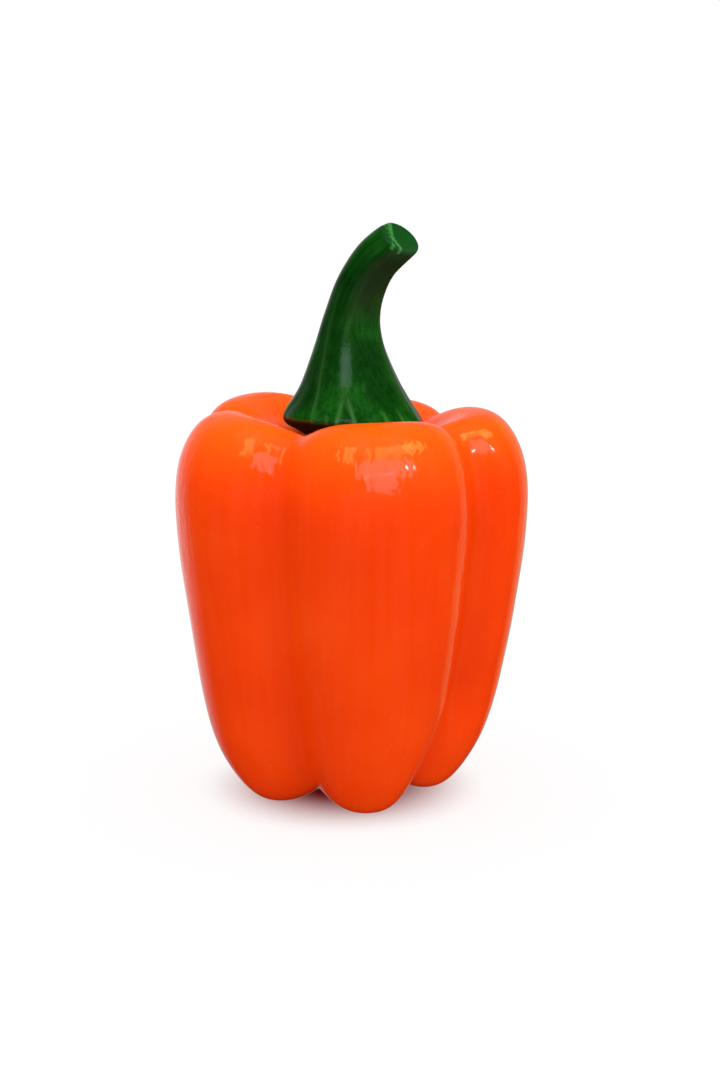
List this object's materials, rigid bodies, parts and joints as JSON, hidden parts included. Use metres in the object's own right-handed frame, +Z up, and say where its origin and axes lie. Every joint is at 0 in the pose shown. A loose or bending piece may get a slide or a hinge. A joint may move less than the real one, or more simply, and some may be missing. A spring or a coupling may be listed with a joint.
{
  "type": "bell pepper",
  "caption": "Ripe orange bell pepper standing upright on its lobes, with a bent green stem in the hollow on top.",
  "frame": {"origin": "on the surface that the pepper stands on, under the fruit's axis, at the bottom centre of its box", "axes": "+Z up along the fruit's axis towards the stem; -Y is the side that the picture shows; +X is to the picture's right, where the stem's tip bends"},
  "size_m": [0.0795, 0.0786, 0.1308],
  "materials": {
    "orange_skin": null,
    "green_stem": null
  },
  "bodies": {
    "root": {"fruit": "orange_skin", "stem": "green_stem"}
  },
  "joints": []
}
